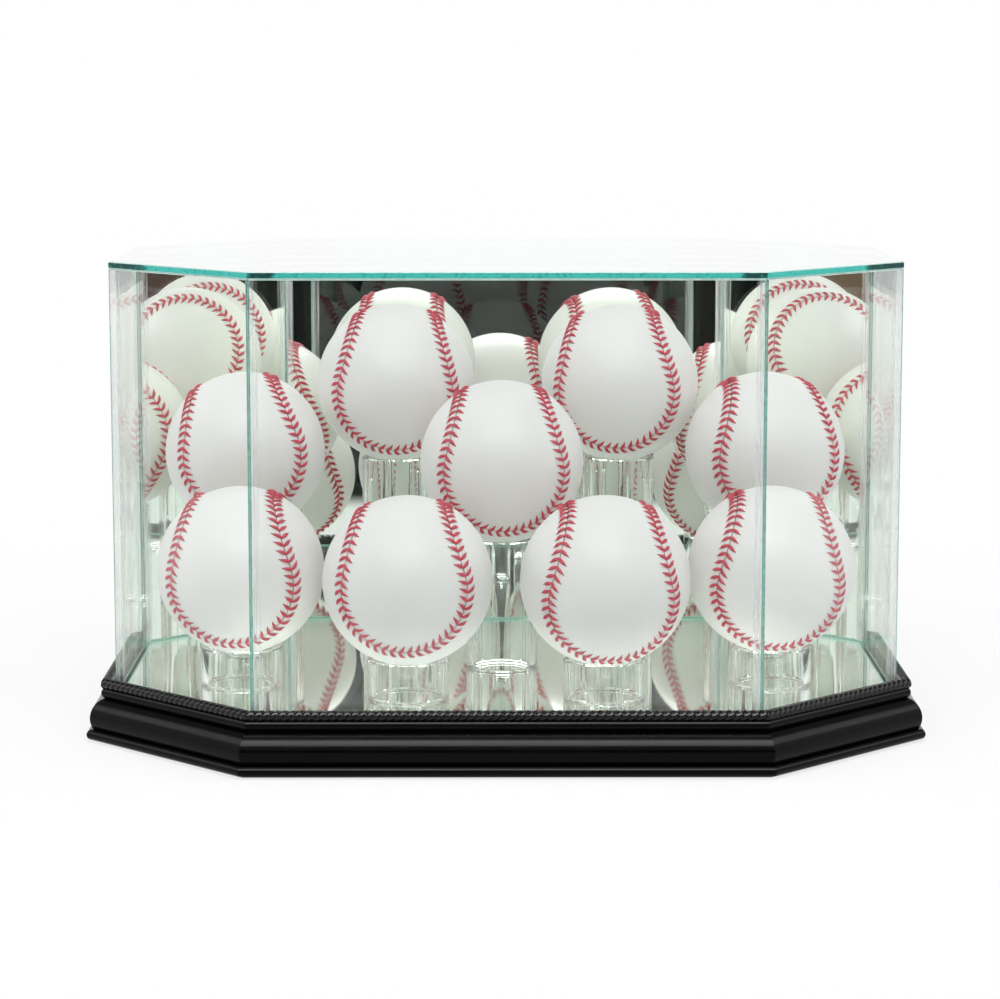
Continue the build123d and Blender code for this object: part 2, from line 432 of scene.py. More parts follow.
def map_by_height(made):
    """Maps each cut face by its share of the piece's height."""
    layer = made.loops.layers.uv.new("edge")
    bottom = min(v.co.z for v in made.verts)
    top = max(v.co.z for v in made.verts)
    for face in made.faces:
        for loop in face.loops:
            loop[layer].uv = ((loop.vert.co.z - bottom) / (top - bottom), 0)


print("a face of a mirror has one of", PAINT + 1, "finishes")


# %% Bevels, objects and the plan of a pane
def difference_in_height(edge):
    """How much higher one end of an edge is than the other."""
    return abs((edge.verts[0].co - edge.verts[1].co).z)


def ease(made, edges, width, finish):
    """Bevels sharp edges into flats of one finish."""
    bmesh.ops.bevel(made, geom=edges, offset=width, segments=1, affect="EDGES", material=finish)


def mesh_from(name, made):
    """Turns a bmesh into a mesh."""
    mesh = bpy.data.meshes.new(name)
    made.to_mesh(mesh)
    made.free()
    return mesh


def add_object(name, data):
    """Puts a mesh, a lamp or a camera into the scene."""
    item = bpy.data.objects.new(name, data)
    bpy.context.scene.collection.objects.link(item)
    return item


def keep_object(name, made, materials, body, slot, *nodes_replaced):
    """Turns a bmesh into an object that rides on a body and stands for CAD nodes."""
    mesh = mesh_from(name, made)
    for material in materials:
        mesh.materials.append(material)
    piece = add_object(name, mesh)
    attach(piece, body)
    if nodes_replaced:
        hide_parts(*nodes_replaced)
    return piece


def upright_plan(side, inner, outer):
    """Plan of one mitred length along a side, with half a joint left at each end."""
    inner_start, inner_end, along = side_frame(side, inner)
    outer_start, outer_end, along = side_frame(side, outer)
    half = along * (JOINT / 2)
    return [inner_start + half, outer_start + half, outer_end - half, inner_end - half]


print("front pane from corner to corner:", round(2 * FRONT_HALF / MM, 1), "mm")

# %% [markdown]
# ## The five clear panes
# The upright outer corners are ground back a little under a millimetre, which is what shows green
# from the front. The long level edges only have their sharpness taken off.

# %% Clear panes of the cover
CORNER_GRIND = 0.8 * MM
ARRIS = 0.35 * MM
SQUARE_ON = 0.99
SAME_LEVEL = 1e-6
LEAST_UPRIGHT = 0.05
LEAST_LONG = 0.03
PANE_FINISHES = [clear_glass, pane_edge, ground_edge, glue]


def dress_pane(made, outward):
    """Bevels a pane and gives each face its finish."""
    for face in made.faces:
        if abs(face.normal.z) > SQUARE_ON:
            face.material_index = CUT
        elif abs(face.normal.dot(outward)) < SQUARE_ON:
            face.material_index = GLUED
    outer = max(v.co.dot(outward) for v in made.verts)
    level = [e for e in made.edges if difference_in_height(e) < SAME_LEVEL]
    ease(made, [e for e in level if e.calc_length() > LEAST_LONG], ARRIS, GROUND)
    upright = [
        e for e in made.edges
        if difference_in_height(e) > LEAST_UPRIGHT
        and all(abs(v.co.dot(outward) - outer) < SAME_LEVEL for v in e.verts)
    ]
    ease(made, upright, CORNER_GRIND, CUT)
    map_by_height(made)


for side, name in enumerate(SIDES):
    if name.startswith("rear"):
        continue
    low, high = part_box("pane_" + name)
    made = prism(upright_plan(side, -GLASS, 0), low.z, high.z)
    dress_pane(made, outward_of(side_frame(side)[2]))
    keep_object("glass_" + name, made, PANE_FINISHES, "cover", "clear_glass", "pane_" + name)
print("five clear panes,", round((high.z - low.z) / MM, 1), "mm high")

# %% [markdown]
# ## The lid
# One octagon of the same glass lies on the panes. Its edge is what the eye catches first, so it
# gets its own brighter green and an arris all round, top and bottom.

# %% The lid
LID_ARRIS = 0.4 * MM
FRONT_DARK, CORNER_DARK = 12 * MM, 28 * MM
BOTH_ENDS = (CORNER_DARK, CORNER_DARK)
made = prism(octagon(0), lid_low.z, lid_high.z)
for face in made.faces:
    face.material_index = CLEAR if abs(face.normal.z) > SQUARE_ON else CUT
rims = [e for e in made.edges if difference_in_height(e) < SAME_LEVEL]
ease(made, rims, LID_ARRIS, GROUND)
map_lid_edge(made, [(FRONT_DARK, FRONT_DARK), (0, CORNER_DARK)] + [BOTH_ENDS] * 5 + [(CORNER_DARK, 0)])
keep_object("glass_lid", made, [lid_glass, lid_edge, ground_edge], "cover", "clear_glass", "lid")
print("lid with", len(rims), "edges eased")

# %% [markdown]
# ## Mirrors
# A mirror is clear glass with silver on its back and paint over the silver. One shiny solid
# would put the reflection at the front of the glass. Glass also bends light, so the silver looks
# nearer than it is: at two thirds of the depth seen square on, and far nearer at a low angle. The
# clear panes here don't bend light, so each mirror is two slabs, with the silver where it looks to
# be: under 2 mm of glass in the upright mirrors, and under 0.6 mm in the floor, seen at 10 degrees.

# %% Finishes of a mirror
silver, tree, shader = new_finish("silver", {"Metallic": 1.0, "Roughness": 0.0})
silvering = add_noise(tree, 6, detail=2)
add_colour(tree, shader, silvering, (0.2, (0.95, 0.965, 0.92)), (0.8, (0.965, 0.975, 0.94)))

backing, tree, shader = new_finish("mirror_backing_paint", {"Roughness": 0.5})
brushed = add_noise(tree, 30, stretch=(1, 1, 6), detail=5)
greys = ((0.2, (0.185, 0.195, 0.195)), (0.8, (0.215, 0.225, 0.225)))
add_colour(tree, shader, brushed, *greys)
add_bump(tree, shader, brushed, 0.00005)

# Painted glow: the cut edge of the mirror floor gives off light of its own, standing for light carried
# inside the glass.
glowing_edge, tree, shader = new_finish("glowing_edge", {
    "Roughness": 0.3,
    "Emission Color": (0.36, 0.52, 0.44, 1),
    "Emission Strength": 0.35,
})
glow = add_noise(tree, 60)
add_colour(tree, shader, glow, (0.3, (0.14, 0.38, 0.30)), (0.7, (0.26, 0.50, 0.42)))

MIRROR_FINISHES = PANE_FINISHES + [silver, backing]
print("silver and backing paint")

# %% Mirror panes at the back
SLAB_GAP = 0.02 * MM
SILVER_UNDER = 2.0 * MM


def add_painted_slab(glass, slab, backward):
    """Silvers the back of the clear slab, and adds the slab behind it with paint on its back."""
    for face in glass.faces:
        if face.normal.dot(backward) > SQUARE_ON:
            face.material_index = SILVER
    made = {v: glass.verts.new(v.co) for v in slab.verts}
    for face in slab.faces:
        looks_back = abs(face.normal.dot(backward)) > SQUARE_ON
        cut = CUT if abs(face.normal.z) > SQUARE_ON else GROUND
        glass.faces.new([made[v] for v in face.verts]).material_index = PAINT if looks_back else cut
    slab.free()


for side, name in enumerate(SIDES):
    if not name.startswith("rear"):
        continue
    low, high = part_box("mirror_" + name)
    outward = outward_of(side_frame(side)[2])
    made = prism(upright_plan(side, -GLASS, -GLASS + SILVER_UNDER), low.z, high.z)
    dress_pane(made, outward)
    slab = prism(upright_plan(side, -GLASS + SILVER_UNDER + SLAB_GAP, 0), low.z, high.z)
    add_painted_slab(made, slab, outward)
    keep_object("looking_glass_" + name, made, MIRROR_FINISHES, "cover", "mirror_glass", "mirror_" + name)
print("three mirror panes at the back")

# %% Mirror floor
FLOOR_SILVER_UNDER = 0.6 * MM
FLOOR_ARRIS = 0.25 * MM
low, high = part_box("floor_mirror")
floor_plan = octagon(high.x - HALF_WIDTH)
made = prism(floor_plan, high.z - FLOOR_SILVER_UNDER, high.z)
for face in made.faces:
    face.material_index = CLEAR if abs(face.normal.z) > SQUARE_ON else CUT
rim = [e for e in made.edges if all(abs(v.co.z - high.z) < SAME_LEVEL for v in e.verts)]
ease(made, rim, FLOOR_ARRIS, GROUND)
map_by_height(made)
slab = prism(floor_plan, low.z, high.z - FLOOR_SILVER_UNDER - SLAB_GAP)
add_painted_slab(made, slab, Vector((0, 0, -1)))
FLOOR_FINISHES = [clear_glass, glowing_edge, glowing_edge, glue, silver, backing]
keep_object("looking_glass_floor", made, FLOOR_FINISHES, "base", "floor_mirror_glass", "floor_mirror")
FLOOR = high.z
print("mirror floor at", round(FLOOR / MM, 1), "mm")

# %% [markdown]
# ## The glue in the corners
# The bead of glue runs down the inside of each corner. A round bar would stand out from the corner.
# A prism with two legs along the panes and a hollow face between them follows the real bead.

# %% Beads of clear glue
GLUE_WIDTH = 2.6 * MM
GLUE_GAP = 0.05 * MM
GLUE_OVER_FLOOR, GLUE_UNDER_LID = 0.5 * MM, 0.3 * MM
HOLLOW = ((0.55, 0.12), (0.3, 0.3), (0.12, 0.55))


def glue_plan(corner):
    """Plan of the bead inside one corner of the octagon: two legs and a hollow face."""
    inside = octagon(-GLASS - GLUE_GAP)
    point = inside[corner]
    before = (inside[corner - 1] - point).normalized() * GLUE_WIDTH
    after = (inside[(corner + 1) % 8] - point).normalized() * GLUE_WIDTH
    hollow = [point + before * a + after * b for a, b in HOLLOW]
    return [point, point + before] + hollow + [point + after]


for corner in range(8):
    made = prism(glue_plan(corner), FLOOR + GLUE_OVER_FLOOR, lid_low.z - GLUE_UNDER_LID)
    keep_object(f"glue_bead_{corner + 1}", made, [glue], "cover", "clear_glass")
print("eight beads of glue")

# %% [markdown]
# ## The rope bead
# The top of the moulding carries a bead carved like a rope. The solid has it as a plain round. A
# twist modifier on a three-lobed bar would do, but it loses its even pitch over long sides. Here
# the section is turned a little at each step along the side, and both ends are cut on the mitre.

# %% The finish of the rope
rope_lacquer, tree, shader = new_finish("rope_lacquer", {"Roughness": 0.16, "Specular IOR Level": 0.3})
rubbed = add_noise(tree, 140, detail=4)
blacks = ((0.4, (0.0008, 0.0007, 0.0007)), (0.75, (0.006, 0.0045, 0.004)))
add_colour(tree, shader, rubbed, *blacks)
print("rope lacquer, glossier than the rest")

# %% Carving the rope
ROPE_REACH = 4.0 * MM
ROPE_DROP = 2.1 * MM
ROPE_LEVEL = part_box("rail_front")[1].z - ROPE_DROP
ROPE_OVERRUN = 2 * MM
STRANDS = 3
STRAND_PITCH = 3.35 * MM
ROPE_CORE = 1.8 * MM
STRAND_RISE = 0.68 * MM
STRAND_FULLNESS = 0.7
STEPS_A_STRAND = 7
ROUND = 21


def rope_point(start, along, outward, run, turn):
    """A point on the rope, `run` metres along it and at the angle `turn` round it."""
    lobe = abs(math.cos(STRANDS / 2 * (turn - 2 * math.pi * run / (STRANDS * STRAND_PITCH))))
    radius = ROPE_CORE + STRAND_RISE * lobe**STRAND_FULLNESS
    upward = Vector((0, 0, radius * math.sin(turn)))
    return start + along * run + outward * (radius * math.cos(turn)) + upward


def rope(side):
    """The carved rope along one side, with mitred ends."""
    start, end, along = side_frame(side, ROPE_REACH)
    outward = outward_of(along)
    length = (end - start).length + 2 * ROPE_OVERRUN
    made = bmesh.new()
    steps = math.ceil(length / STRAND_PITCH * STEPS_A_STRAND)
    turns = [2 * math.pi * k / ROUND for k in range(ROUND)]
    rings = []
    for step in range(steps + 1):
        run = -ROPE_OVERRUN + length * step / steps
        rings.append([made.verts.new(rope_point(start, along, outward, run, turn)) for turn in turns])
    for ring, after in zip(rings, rings[1:]):
        for k in range(ROUND):
            made.faces.new((ring[k], ring[k - 1], after[k - 1], after[k]))
    for corner, way in ((start, -1), (end, 1)):
        turned = Matrix.Rotation(math.radians(22.5 * way), 3, "Z") @ along
        bmesh.ops.bisect_plane(
            made, geom=made.verts[:] + made.edges[:] + made.faces[:],
            plane_co=corner, plane_no=turned * way, clear_outer=True,
        )
    bmesh.ops.translate(made, verts=made.verts, vec=(0, 0, ROPE_LEVEL))
    bmesh.ops.recalc_face_normals(made, faces=made.faces)
    for face in made.faces:
        face.smooth = True
    return made


print("rope", round(2 * (ROPE_CORE + STRAND_RISE) / MM, 1), "mm thick")

# %% Ropes on all eight sides
strand_count = 0
for side, name in enumerate(SIDES):
    start, end, along = side_frame(side)
    strand_count += round((end - start).length / STRAND_PITCH)
    keep_object("rope_" + name, rope(side), [rope_lacquer], "base", "black_lacquer")
print("rope bead with about", strand_count, "turns of strand")

# %% [markdown]
# ## Clear tubes
# Each ball stands on a short length of clear acrylic tube. Its upright bright streaks are bent
# light, so here the glass really bends light. Lamps and soft light still pass straight through,
# by a Light Path switch, so that the balls and the mirror under them stay lit.

# %% The acrylic of the tubes
acrylic, tree, shader = new_finish("clear_acrylic", {
    "Base Color": (0.97, 0.99, 0.98, 1),
    "Transmission Weight": 1.0,
    "IOR": 1.49,
    "Roughness": 0.0,
})
die_lines = add_noise(tree, 700, stretch=(1, 1, 0.01), detail=2)
add_bump(tree, shader, die_lines, 0.00001)
rays = tree.nodes.new("ShaderNodeLightPath")
lets_by = add_math(tree, "MAXIMUM", rays.outputs["Is Shadow Ray"], rays.outputs["Is Diffuse Ray"])
through = add_clear(tree, (0.95, 0.97, 0.96))
set_surface(tree, mix_shaders(tree, lets_by, shader.outputs["BSDF"], through))
print("acrylic bends light by", shader.inputs["IOR"].default_value)

# %% Turning the tubes
TUBE_WALL = 3 * MM
TUBE_ARRIS = 0.4 * MM
TURN_STEPS = 96
STILL_SHARP = math.radians(30)


def tube(low, high):
    """A tube turned from its section, standing in the box that the solid one fills."""
    outside = (high.x - low.x) / 2
    inside = outside - TUBE_WALL
    height = high.z - low.z
    section = [
        (outside - TUBE_ARRIS, 0),
        (outside, TUBE_ARRIS),
        (outside, height - TUBE_ARRIS),
        (outside - TUBE_ARRIS, height),
        (inside + TUBE_ARRIS, height),
        (inside, height - TUBE_ARRIS),
        (inside, TUBE_ARRIS),
        (inside + TUBE_ARRIS, 0),
    ]
    made = bmesh.new()
    ring = [made.verts.new((x, 0, z)) for x, z in section]
    edges = [made.edges.new((ring[k - 1], ring[k])) for k in range(len(ring))]
    bmesh.ops.spin(
        made, geom=ring + edges, cent=(0, 0, 0), axis=(0, 0, 1),
        angle=2 * math.pi, steps=TURN_STEPS, use_merge=True,
    )
    bmesh.ops.remove_doubles(made, verts=made.verts, dist=1e-6)
    bmesh.ops.recalc_face_normals(made, faces=made.faces)
    place = ((low.x + high.x) / 2, (low.y + high.y) / 2, low.z)
    bmesh.ops.translate(made, verts=made.verts, vec=place)
    return made


risers = sorted(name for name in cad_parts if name.startswith("riser_"))
for name in risers:
    made = tube(*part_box(name))
    label = "tube_" + name[len("riser_"):]
    piece = keep_object(label, made, [acrylic], name, "clear_acrylic", name)
    piece.data.shade_smooth()
    piece.data.set_sharp_from_angle(angle=STILL_SHARP)
print(len(risers), "tubes")

# %% [markdown]
# ## The seam of a baseball
# A ball's cover is two matching pieces of leather, so its seam is one closed line with four lobes.
# Four equal arcs of a small circle, each bending the other way, follow it closely. A ball is worked
# out once in its own frame: where the seam is, how far any point is from it, and on which side.

# %% The line of the seam
BALL_RADIUS = 36.9 * MM
SEAM_TILT = math.radians(15)
SEAM_SPREAD = math.acos(math.cos(SEAM_TILT) / math.sqrt(2))
SEAM_SWING = 2 * math.pi - math.acos(-1 / math.tan(SEAM_SPREAD) ** 2)
ARC_LENGTH = SEAM_SWING * math.sin(SEAM_SPREAD) * BALL_RADIUS
SEAM_LENGTH = 4 * ARC_LENGTH


def arc_frame(quarter):
    """Start, turning axis and middle of one of the four arcs, as unit vectors."""
    start_at = math.radians(-90 * quarter)
    lean_to = math.radians(135 + 90 * quarter)
    flat = math.cos(SEAM_TILT)
    start = Vector((math.cos(start_at), math.sin(start_at), 0))
    axis = Vector((math.cos(lean_to) * flat, math.sin(lean_to) * flat, math.sin(SEAM_TILT)))
    return start, axis, axis if quarter % 2 else -axis


def seam_at(run):
    """Unit point, travel direction and sideways direction of the seam, `run` metres along it."""
    run = run % SEAM_LENGTH
    quarter = min(int(run / ARC_LENGTH), 3)
    start, axis = arc_frame(quarter)[:2]
    swung = (run - quarter * ARC_LENGTH) / ARC_LENGTH * SEAM_SWING
    point = Matrix.Rotation(swung, 3, axis) @ start
    travel = axis.cross(point).normalized()
    return point, travel, point.cross(travel)


def beside_seam(run, aside, height=0.0):
    """A point `aside` metres from the seam and `height` metres outside the ball's radius."""
    point, travel, sideways = seam_at(run)
    angle = aside / BALL_RADIUS
    return (point * math.cos(angle) + sideways * math.sin(angle)) * (BALL_RADIUS + height)


print("seam", round(SEAM_LENGTH / MM), "mm round")

# %% Distance of every point of the leather from the seam
UNMEASURED, PAST_THE_ARC = 9.0, 8.0


def measure_seam(points):
    """For unit points: metres from the seam, signed by the piece of leather, and metres along it."""
    best = np.full(len(points), UNMEASURED)
    signed = np.zeros(len(points))
    run = np.zeros(len(points))
    for quarter in range(4):
        start, axis, middle = (np.array(v) for v in arc_frame(quarter))
        toward = points @ middle
        off = np.arccos(np.clip(toward, -1, 1)) - SEAM_SPREAD
        flat = points - toward[:, None] * middle
        flat /= np.linalg.norm(flat, axis=1)[:, None] + 1e-12
        first = start - (start @ middle) * middle
        first /= np.linalg.norm(first)
        turned = np.arctan2(flat @ np.cross(axis, first), flat @ first) % (2 * math.pi)
        on_arc = turned <= SEAM_SWING
        distance = np.where(on_arc, np.abs(off), PAST_THE_ARC)
        nearer = distance < best
        best = np.where(nearer, distance, best)
        signed = np.where(nearer, off if quarter % 2 else -off, signed)
        run = np.where(nearer, (quarter + turned / SEAM_SWING) * ARC_LENGTH, run)
    return signed * BALL_RADIUS, run


samples = [beside_seam(run, aside).normalized() for run, aside in ((0.05, 0.004), (0.15, -0.004))]
found = measure_seam(np.array(samples))[0]
print("seam test, expected 4 mm:", np.round(np.abs(found) / MM, 2))

# %% [markdown]
# ## The leather
# The cover is drawn together by the stitches, so it dips in a narrow groove at the seam, swells
# beside it and dimples at each needle hole. A texture could draw that, but it would stay flat at
# the edge of the ball, so the points of a fine sphere are moved in and out instead.

# %% Shaping the ball
STITCH_PAIRS = 108
STITCH_PITCH = SEAM_LENGTH / STITCH_PAIRS
# In millimetres: how high each form is, how far from the seam, and how wide.
GROOVE_DEEP, GROOVE_WIDE = 0.5, 0.5
SWELL_HIGH, SWELL_AT, SWELL_WIDE = 0.34, 1.9, 1.5
GATHERS_HIGH, GATHERS_AT, GATHERS_WIDE = 0.08, 3.1, 1.3
COVER_SUNK = 0.2


def hump(away, at, wide):
    """1 at a distance from the seam, falling softly to 0 on both sides."""
    return np.exp(-(((away - at) / wide) ** 2))


def leather_height(aside, run):
    """How far the leather stands above the ball's own radius, in metres."""
    away = np.abs(aside) / MM
    groove = -GROOVE_DEEP * hump(away, 0.0, GROOVE_WIDE)
    swell = SWELL_HIGH * hump(away, SWELL_AT, SWELL_WIDE)
    wave = GATHERS_HIGH * np.cos(2 * np.pi * run / STITCH_PITCH)
    gathers = wave * hump(away, GATHERS_AT, GATHERS_WIDE)
    return (groove + swell + gathers - COVER_SUNK) * MM


made = bmesh.new()
bmesh.ops.create_icosphere(made, subdivisions=7, radius=1.0)
leather_mesh = mesh_from("baseball_cover", made)
directions = np.zeros(len(leather_mesh.vertices) * 3)
leather_mesh.vertices.foreach_get("co", directions)
directions = directions.reshape(-1, 3)
directions /= np.linalg.norm(directions, axis=1)[:, None]
aside, run = measure_seam(directions)
shaped = directions * (BALL_RADIUS + leather_height(aside, run))[:, None]
leather_mesh.vertices.foreach_set("co", shaped.ravel())
from_seam = leather_mesh.attributes.new("from_seam", "FLOAT", "POINT")
from_seam.data.foreach_set("value", (aside / MM).astype(np.float32))
leather_mesh.update()
leather_mesh.shade_smooth()
print("ball of", len(leather_mesh.vertices), "points, stitches every", round(STITCH_PITCH / MM, 2), "mm")

# %% The finish of the leather
leather, tree, shader = new_finish("white_leather", {"Roughness": 0.45, "Specular IOR Level": 0.2})
soil = add_noise(tree, 22, detail=4)
clean = add_ramp(tree, soil, (0.3, (0.85, 0.84, 0.825)), (0.6, (0.90, 0.893, 0.88)))
distance = tree.nodes.new("ShaderNodeAttribute")
distance.attribute_name = "from_seam"
away = add_math(tree, "ABSOLUTE", distance.outputs["Fac"], 0.0)
in_groove = add_range(tree, away, 0.12, 0.42, 1.0, 0.0)
# The leather turns a dull dark brown within about half a millimetre of the seam line.
seam_darkened = add_blend(tree, in_groove, clean, (0.36, 0.27, 0.25))
tree.links.new(seam_darkened, shader.inputs["Base Color"])
pores = tree.nodes.new("ShaderNodeTexVoronoi")
pores.inputs["Scale"].default_value = 1400
own_place = tree.nodes.new("ShaderNodeTexCoord")
tree.links.new(own_place.outputs["Object"], pores.inputs["Vector"])
add_bump(tree, shader, pores.outputs["Distance"], 0.00003)
leather_mesh.materials.append(leather)
print("leather finished")

# %% [markdown]
# ## The stitches
# Red waxed thread comes up through the seam, lies over the edge of the leather and goes down a
# needle hole, so each half stitch is a leaf: full in the middle, thin at the hole. Curves with a
# bevel could draw it, with thickness along them. A short tube of a few rings keeps the mesh light:
# a ball has two times 108 of them.

# %% One stitch
STITCH_REACH = 4.8 * MM
STITCH_SLANT = math.radians(60)
# Each ring's part of the length, then its half width and its height over the leather in mm.
LEAF = [
    (0.0, 0.46, 0.12),
    (0.15, 0.70, 0.34),
    (0.4, 0.84, 0.42),
    (0.65, 0.74, 0.36),
    (0.86, 0.44, 0.16),
    (1.0, 0.15, -0.25),
]
LEAF_SIDES = 8
FLATNESS, LEAST_THICK = 0.5, 0.06
THREAD_LOWEST = -0.35 * MM
HOLE_LONG, HOLE_WIDE = 0.5, 0.26
HOLE_LIFT = 0.03 * MM
HOLE_SIDES = 8


def leaf_centre(run, way, part, height):
    """The middle of a half stitch at a part of its length, on the leather plus a height."""
    aside = way * part * STITCH_REACH * math.sin(STITCH_SLANT)
    back = part * STITCH_REACH * math.cos(STITCH_SLANT)
    lift = float(leather_height(np.array(aside), np.array(run - back)))
    return beside_seam(run - back, aside, max(lift, THREAD_LOWEST) + height)


def sew_half(made, run, way):
    """One leaf of thread from the seam out to its needle hole."""
    centres = [leaf_centre(run, way, part, height * MM) for part, half_width, height in LEAF]
    rings = []
    for place, (part, half_width, height) in enumerate(LEAF):
        ahead = centres[min(place + 1, len(LEAF) - 1)] - centres[max(place - 1, 0)]
        up = centres[place].normalized()
        across = up.cross(ahead).normalized()
        thick = FLATNESS * half_width + LEAST_THICK
        ring = []
        for k in range(LEAF_SIDES):
            turn = 2 * math.pi * k / LEAF_SIDES
            offset = across * (half_width * math.cos(turn)) + up * (thick * math.sin(turn))
            ring.append(made.verts.new(centres[place] + offset * MM))
        rings.append(ring)
    for ring, after in zip(rings, rings[1:]):
        for k in range(LEAF_SIDES):
            face = made.faces.new((ring[k - 1], ring[k], after[k], after[k - 1]))
            face.smooth = True
    for ring in (rings[0][::-1], rings[-1]):
        made.faces.new(ring)


def needle_hole(made, run, way):
    """A small dark red oval of painted shade where the thread goes down into the leather."""
    middle = leaf_centre(run, way, 1.0, HOLE_LIFT)
    ahead = middle - leaf_centre(run, way, 0.8, HOLE_LIFT)
    up = middle.normalized()
    across = up.cross(ahead).normalized()
    along = across.cross(up)
    rim = []
    for k in range(HOLE_SIDES):
        turn = 2 * math.pi * k / HOLE_SIDES
        offset = along * (HOLE_LONG * math.cos(turn)) + across * (HOLE_WIDE * math.sin(turn))
        rim.append(made.verts.new(middle + offset * MM))
    hole = made.faces.new(rim)
    hole.material_index = 1
    if hole.normal.dot(up) < 0:
        hole.normal_flip()


print("half stitch", round(STITCH_REACH / MM, 1), "mm long")

# %% Sewing one ball
made = bmesh.new()
for pair in range(STITCH_PAIRS):
    for way in (-1, 1):
        sew_half(made, (pair + 0.5) * STITCH_PITCH, way)
        needle_hole(made, (pair + 0.5) * STITCH_PITCH, way)
made.normal_update()
stitch_mesh = mesh_from("red_stitches", made)
print("stitches:", len(stitch_mesh.polygons), "faces")

# %% The finish of the thread
thread, tree, shader = new_finish("red_thread", {"Roughness": 0.5, "Sheen Weight": 0.15})
twist = add_noise(tree, 1800, detail=2)
add_colour(tree, shader, twist, (0.25, (0.46, 0.030, 0.055)), (0.7, (0.70, 0.075, 0.12)))
add_bump(tree, shader, twist, 0.00012)

# Painted shade of the needle holes: each flat oval stands for the shade down in its hole, tinted by the
# red thread.
painted_hole_shade, tree, shader = new_finish("needle_hole", {"Roughness": 0.8})
hole_shade_tone = add_noise(tree, 900, detail=2)
add_colour(tree, shader, hole_shade_tone, (0.3, (0.03, 0.008, 0.010)), (0.7, (0.09, 0.025, 0.03)))
stitch_mesh.materials.append(thread)
stitch_mesh.materials.append(painted_hole_shade)
print("thread and needle holes finished")

# %% [markdown]
# ## Nine balls
# All nine share one mesh of leather and one of thread, and differ only in where they stand and how
# they were put down. A ball starts with a lobe of its seam to the front and the neck at the top,
# and is then tipped forward, leaned to +X and turned toward +X by a few degrees.

# %% Placing the balls
BALL_SEAT_GAP = 0.3 * MM
# Degrees: tipped forward, leaned to +X, turned toward +X.
PUT_DOWN = {
    "front_1": (5, -4, -4),
    "front_2": (0, -3, -2),
    "front_3": (12, 2, 4),
    "front_4": (11, 3, 2),
    "middle_1": (-2, -10, 1),
    "middle_2": (4, -1, 2),
    "middle_3": (1, 1, 8),
    "rear_1": (6, 1, 1),
    "rear_2": (3, -5, -6),
}


def spin(degrees, axis):
    """A turn about one axis."""
    return Matrix.Rotation(math.radians(degrees), 4, axis)


LOBE_TO_FRONT = Matrix.Rotation(-SEAM_TILT, 4, "X") @ spin(-45, "Z")
for place, (tipped, leaned, turned) in PUT_DOWN.items():
    body = "ball_" + place
    low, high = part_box("riser_" + place)
    mouth = (high.x - low.x) / 2 - TUBE_WALL
    rise = math.sqrt((BALL_RADIUS + BALL_SEAT_GAP) ** 2 - mouth**2)
    centre = Vector(((low.x + high.x) / 2, (low.y + high.y) / 2, high.z + rise))
    way = spin(tipped, "X") @ spin(leaned, "Y") @ spin(turned, "Z") @ LOBE_TO_FRONT
    for label, mesh in (("baseball_", leather_mesh), ("stitching_", stitch_mesh)):
        piece = add_object(label + place, mesh)
        piece.matrix_world = Matrix.Translation(centre) @ way
        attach(piece, body)
        if label == "baseball_":
            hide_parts(body)
print("nine balls, the last at", tuple(round(v / MM, 1) for v in centre))

# %% [markdown]
# ## The table and the room
# The case stands on a white table against white. In its mirrors the picture shows more: a table
# that ends half a metre in front, and darkness beyond it and to both sides. So the camera sees
# plain white, and the mirrors see a white table with three dark cards on it, to the front, left
# and right, each just wide enough for its mirror. The room is white too, but for a low dark part
# straight to the front. Light Path tells the camera from the mirrors.

# %% Telling a look in a mirror from light that a mirror carries
def add_mirror_view(tree, rays):
    """1 for a line of sight by way of glass or mirror, and 0 for light on its way to a piece."""
    glossy, bent = rays.outputs["Is Glossy Ray"], rays.outputs["Is Transmission Ray"]
    mirrored = add_math(tree, "MAXIMUM", glossy, bent)
    sight = add_math(tree, "LESS_THAN", rays.outputs["Diffuse Depth"], 0.5)
    return add_math(tree, "MULTIPLY", mirrored, sight)


print("helper: a look in a mirror")

# %% The table
TABLE_REACH = 6.0
made = bmesh.new()
bmesh.ops.create_grid(made, x_segments=24, y_segments=24, size=TABLE_REACH)
table_mesh = mesh_from("table", made)
table = add_object("table", table_mesh)

cloth, tree, shader = new_finish("white_table", {})
tree.nodes.remove(shader)
lit = tree.nodes.new("ShaderNodeBsdfDiffuse")
lit.inputs["Color"].default_value = (0.88, 0.88, 0.88, 1)
white = tree.nodes.new("ShaderNodeEmission")
white.inputs["Strength"].default_value = 1.0
rays = tree.nodes.new("ShaderNodeLightPath")
place = tree.nodes.new("ShaderNodeTexCoord")
parts = tree.nodes.new("ShaderNodeSeparateXYZ")
tree.links.new(place.outputs["Object"], parts.inputs["Vector"])
away = tree.nodes.new("ShaderNodeVectorMath")
away.operation = "LENGTH"
tree.links.new(place.outputs["Object"], away.inputs[0])
plain_white = add_range(tree, away.outputs["Value"], 0.2, 0.6, 0.75, 1.0)
in_sight = add_math(tree, "MULTIPLY", rays.outputs["Is Camera Ray"], plain_white)
seen = mix_shaders(tree, in_sight, lit.outputs["BSDF"], white.outputs["Emission"])
print("table", 2 * TABLE_REACH, "m square")

